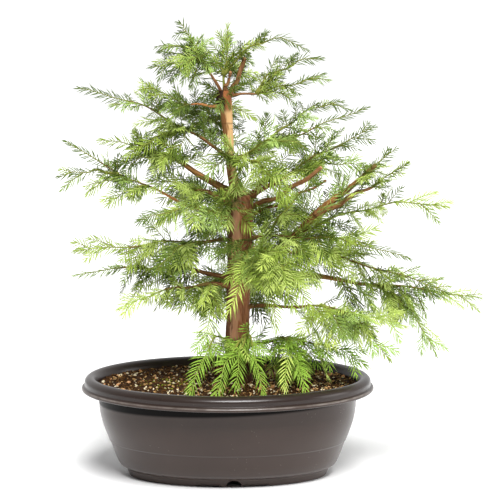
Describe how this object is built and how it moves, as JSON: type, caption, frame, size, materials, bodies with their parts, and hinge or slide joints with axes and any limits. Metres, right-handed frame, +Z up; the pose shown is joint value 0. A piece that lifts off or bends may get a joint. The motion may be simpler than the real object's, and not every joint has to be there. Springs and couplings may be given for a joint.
{
  "type": "bonsai dawn redwood in an oval training pot",
  "caption": "Young dawn redwood trained as a bonsai: tapering trunk, open spreading boughs and feathery needle sprays, rooted in gritty soil in an oval plastic pot.",
  "frame": {"origin": "middle of the pot's flat underside", "axes": "+Z up the tree, +X along the pot's length, -Y towards its front"},
  "size_m": [0.4296, 0.2726, 0.4679],
  "materials": {
    "pot_plastic": "moulded brown-grey plastic with a soft sheen",
    "potting_mix": "coarse dark bark and grit with pale grains",
    "bark": "reddish brown bark with shallow long fissures",
    "needles": "soft flat needles, deep to fresh green"
  },
  "bodies": {
    "root": {"pot": "pot_plastic", "soil": "potting_mix", "trunk": "bark", "bough_base_right": "bark", "bough_crown_left": "bark", "bough_crown_right": "bark", "bough_left_high": "bark", "bough_left_long": "bark", "bough_left_low": "bark", "bough_left_lower": "bark", "bough_left_mid": "bark", "bough_left_mid_low": "bark", "bough_left_top": "bark", "bough_left_upper": "bark", "bough_right_big": "bark", "bough_right_big_fork": "bark", "bough_right_broken": "bark", "bough_right_high": "bark", "bough_right_knuckle": "bark", "bough_right_long": "bark", "bough_right_low": "bark", "bough_right_mid": "bark", "bough_right_mid_up": "bark", "bough_right_thin": "bark", "bough_stub_crown": "bark", "bough_stub_twig": "bark", "bough_twig_bare": "bark", "foliage_back_high": "needles", "foliage_back_left": "needles", "foliage_back_low": "needles", "foliage_back_right": "needles", "foliage_base_front": "needles", "foliage_base_left": "needles", "foliage_base_right": "needles", "foliage_crown_left": "needles", "foliage_crown_right": "needles", "foliage_crown_top": "needles", "foliage_front_drape": "needles", "foliage_front_right": "needles", "foliage_front_spray": "needles", "foliage_left_front": "needles", "foliage_left_high": "needles", "foliage_left_long": "needles", "foliage_left_low": "needles", "foliage_left_lower": "needles", "foliage_left_mid": "needles", "foliage_left_mid_low": "needles", "foliage_left_top": "needles", "foliage_left_upper": "needles", "foliage_right_big": "needles", "foliage_right_big_fork": "needles", "foliage_right_big_low": "needles", "foliage_right_high": "needles", "foliage_right_high_front": "needles", "foliage_right_knuckle": "needles", "foliage_right_long": "needles", "foliage_right_low": "needles", "foliage_right_mid": "needles", "foliage_right_mid_up": "needles", "foliage_right_thin": "needles"}
  },
  "joints": []
}
